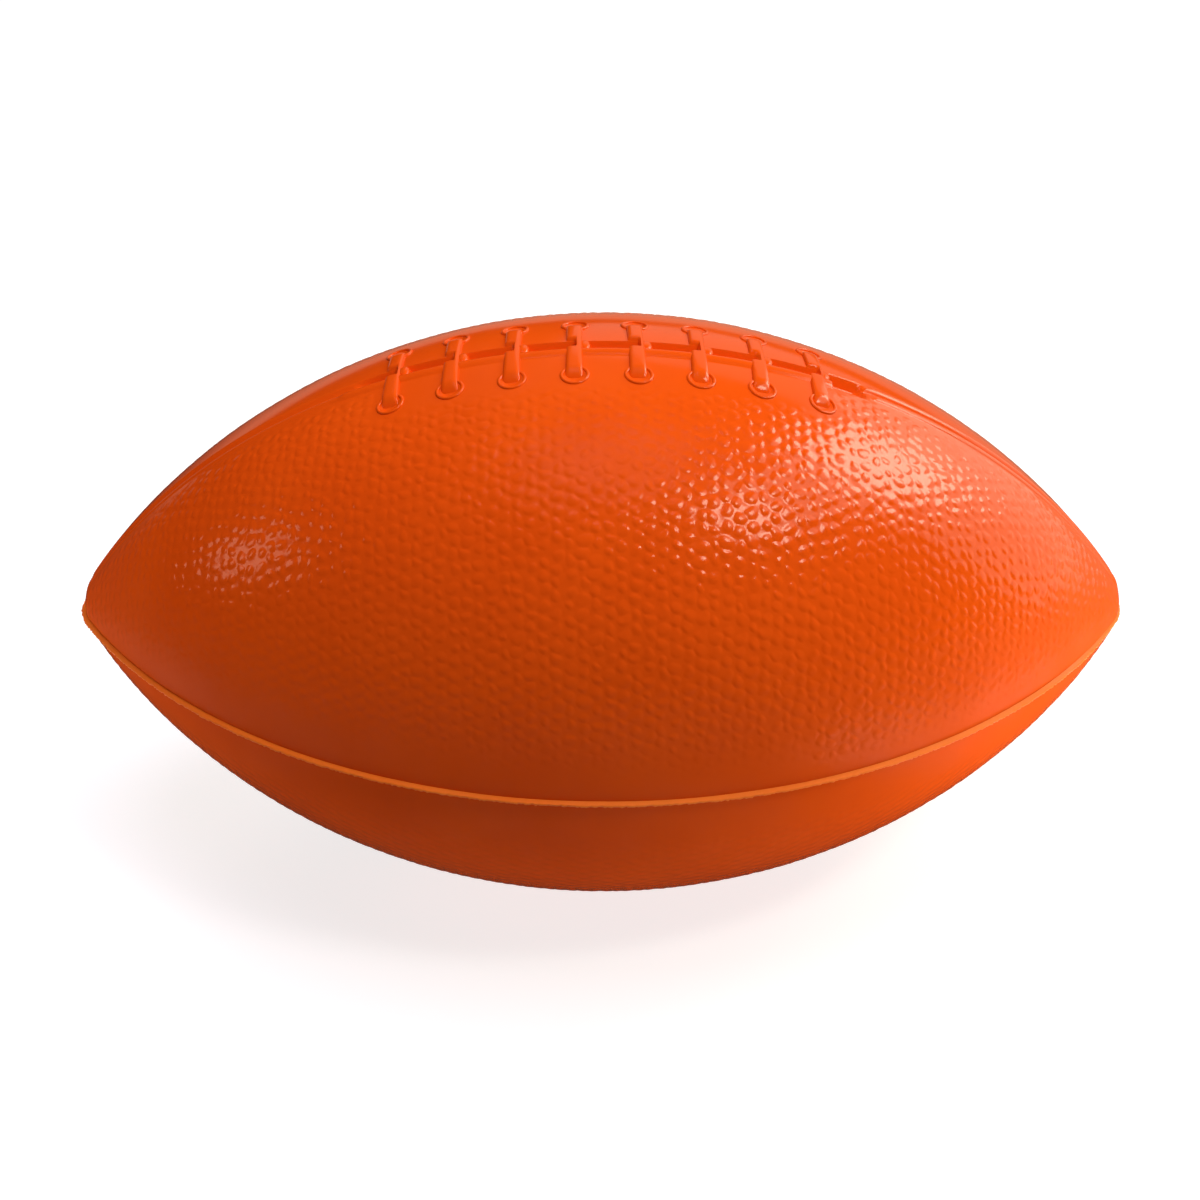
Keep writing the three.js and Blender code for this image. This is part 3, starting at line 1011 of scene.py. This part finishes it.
table_glow("glow_right", 0.13, -0.07, 5)
table_glow("glow_front", 0, -0.06, 0.4)
table_glow("glow_left", -0.13, -0.07, 0.8)
table_glow("glow_far_left", -0.17, 0, 4.5)
table_glow("glow_far_right", 0.17, 0, 9)

# The world is a faint fill light. To the camera it and the far floor are a pale grey, by a light path, and
# the lamps bring the floor round the ball up to white.
world_fill = 0.03
backdrop = 0.78
floor_size = 8
floor_grey = 0.42
sheen_way = (0.6, 0.8, 0)
sheen_start = 0.03
sheen_full = 0.3
sheen_least = 0.04
sheen_most = 0.4
sheen_tint = (1, 0.66, 0.46, 1)

world = bpy.data.worlds.new("studio")
bpy.context.scene.world = world
world.use_nodes = True
world_nodes = world.node_tree.nodes
world_links = world.node_tree.links
background = world_nodes["Background"]
background.inputs["Color"].default_value = (1, 1, 1, 1)
world_seen = world_nodes.new("ShaderNodeLightPath")
world_strength = world_nodes.new("ShaderNodeMapRange")
world_strength.inputs["To Min"].default_value = world_fill
world_strength.inputs["To Max"].default_value = backdrop
world_links.new(world_seen.outputs["Is Camera Ray"], world_strength.inputs["Value"])
world_links.new(world_strength.outputs["Result"], background.inputs["Strength"])
world.cycles_visibility.glossy = False


# The floor shines into the plastic mostly from behind and from the right, as in the photograph.
def pale_floor():
    bpy.ops.mesh.primitive_plane_add(size=floor_size)
    floor = bpy.context.active_object
    floor.name = "floor"
    material, nodes, links, shader = new_material("pale_floor")
    shader.inputs["Base Color"].default_value = (floor_grey, floor_grey, floor_grey, 1)
    shader.inputs["Roughness"].default_value = 0.9
    shader.inputs["Specular IOR Level"].default_value = 0
    seen = nodes.new("ShaderNodeLightPath")
    links.new(seen.outputs["Is Camera Ray"], shader.inputs["Emission Strength"])
    shader.inputs["Emission Color"].default_value = (backdrop, backdrop, backdrop, 1)
    place = nodes.new("ShaderNodeTexCoord")
    away = nodes.new("ShaderNodeVectorMath")
    away.operation = "DOT_PRODUCT"
    away.inputs[1].default_value = sheen_way
    links.new(place.outputs["Object"], away.inputs[0])
    sheen = nodes.new("ShaderNodeMapRange")
    sheen.inputs["From Min"].default_value = sheen_start
    sheen.inputs["From Max"].default_value = sheen_full
    sheen.inputs["To Min"].default_value = sheen_least
    sheen.inputs["To Max"].default_value = sheen_most
    links.new(away.outputs["Value"], sheen.inputs["Value"])
    glow = nodes.new("ShaderNodeEmission")
    glow.inputs["Color"].default_value = sheen_tint
    links.new(sheen.outputs["Result"], glow.inputs["Strength"])
    either = nodes.new("ShaderNodeMixShader")
    links.new(seen.outputs["Is Glossy Ray"], either.inputs[0])
    links.new(shader.outputs["BSDF"], either.inputs[1])
    links.new(glow.outputs["Emission"], either.inputs[2])
    links.new(either.outputs["Shader"], nodes["Material Output"].inputs["Surface"])
    floor.data.materials.append(material)


pale_floor()

bpy.context.scene.view_settings.view_transform = "Standard"
